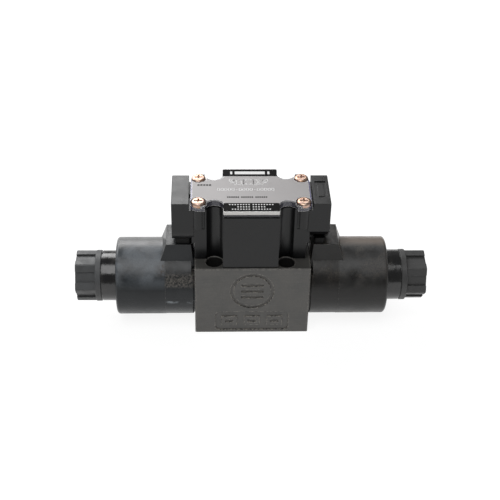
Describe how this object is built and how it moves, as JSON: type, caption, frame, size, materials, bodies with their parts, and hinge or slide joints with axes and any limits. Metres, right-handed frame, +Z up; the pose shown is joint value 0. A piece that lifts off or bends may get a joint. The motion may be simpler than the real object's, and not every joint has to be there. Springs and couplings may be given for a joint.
{
  "type": "solenoid directional valve",
  "caption": "Spool valve block with a coil and locking nut at each end, a covered wiring box on top and a four-port bolt-down base.",
  "frame": {"origin": "on the mounting face, at the centre of the four-port pattern", "axes": "+X along the spool towards the right-hand coil, +Y from the front face to the back, +Z up out of the mounting face"},
  "size_m": [0.202, 0.0454, 0.0848],
  "materials": {
    "cast_iron": "phosphated casting, fine sand texture",
    "spool_steel": "ground and polished",
    "spring_steel": "bright wire",
    "tube_steel": "turned, zinc plated",
    "soft_iron": "turned",
    "yoke_steel": "dark phosphated steel",
    "copper": "enamelled copper wire",
    "contact_brass": "bright",
    "bobbin_plastic": "natural glass-filled nylon",
    "coil_plastic": "black moulded, fine grain",
    "nut_plastic": "black moulded",
    "box_plastic": "black moulded, semi-gloss",
    "terminal_plastic": "beige moulded",
    "seal_rubber": "nitrile",
    "clear_cover": "clear moulded plastic",
    "plate_metal": "brushed, with black printed bands",
    "screw_metal": "yellow zinc plated steel",
    "zinc_screw": "zinc plated",
    "wire_sheath": "red insulated"
  },
  "bodies": {
    "valve": {"valve_body": "cast_iron", "port_o_rings": "seal_rubber", "terminal_box": "box_plastic", "box_gasket": "seal_rubber", "box_screws": "zinc_screw", "terminal_block": "terminal_plastic", "terminal_screws": "zinc_screw", "lead_wires": "wire_sheath", "cover_gasket": "seal_rubber", "terminal_box_cover": "clear_cover", "nameplate": "plate_metal", "cover_screws": "screw_metal", "plug_arm_left": "box_plastic", "plug_arm_right": "box_plastic", "centring_spring_left": "spring_steel", "centring_spring_right": "spring_steel", "core_tube_left": "tube_steel", "core_tube_right": "tube_steel", "tube_seal_left": "seal_rubber", "tube_seal_right": "seal_rubber", "override_seal_left": "seal_rubber", "override_seal_right": "seal_rubber", "coil_shell_left": "coil_plastic", "coil_shell_right": "coil_plastic", "coil_yoke_left": "yoke_steel", "coil_yoke_right": "yoke_steel", "coil_bobbin_left": "bobbin_plastic", "coil_bobbin_right": "bobbin_plastic", "coil_winding_left": "copper", "coil_winding_right": "copper", "coil_pins_left": "contact_brass", "coil_pins_right": "contact_brass", "plug_seal_left": "seal_rubber", "plug_seal_right": "seal_rubber", "coil_nut_left": "nut_plastic", "coil_nut_right": "nut_plastic", "nut_seal_left": "seal_rubber", "nut_seal_right": "seal_rubber"},
    "spool": {"spool": "spool_steel", "spring_seat_left": "tube_steel", "spring_seat_right": "tube_steel"},
    "armature_left": {"armature_left": "soft_iron", "push_pin_left": "spool_steel"},
    "armature_right": {"armature_right": "soft_iron", "push_pin_right": "spool_steel"},
    "override_left": {"override_pin_left": "spool_steel"},
    "override_right": {"override_pin_right": "spool_steel"}
  },
  "joints": [
    {"name": "spool_slide", "type": "slide", "parent": "valve", "child": "spool", "axis": [1, 0, 0], "range_m": [-0.003, 0.003], "stiffness_N_per_m": 9000, "deforming": ["centring_spring_left", "centring_spring_right"]},
    {"name": "armature_left_slide", "type": "slide", "parent": "valve", "child": "armature_left", "axis": [1, 0, 0], "range_m": [-0.003, 0.003]},
    {"name": "armature_right_slide", "type": "slide", "parent": "valve", "child": "armature_right", "axis": [1, 0, 0], "range_m": [-0.003, 0.003]},
    {"name": "override_left_slide", "type": "slide", "parent": "valve", "child": "override_left", "axis": [1, 0, 0], "range_m": [-0.003, 0.003]},
    {"name": "override_right_slide", "type": "slide", "parent": "valve", "child": "override_right", "axis": [1, 0, 0], "range_m": [-0.003, 0.003]}
  ],
  "couplings": [
    {"joint": "armature_left_slide", "follows": "spool_slide", "ratio": 1},
    {"joint": "armature_right_slide", "follows": "spool_slide", "ratio": 1},
    {"joint": "override_left_slide", "follows": "spool_slide", "ratio": 1},
    {"joint": "override_right_slide", "follows": "spool_slide", "ratio": 1}
  ]
}
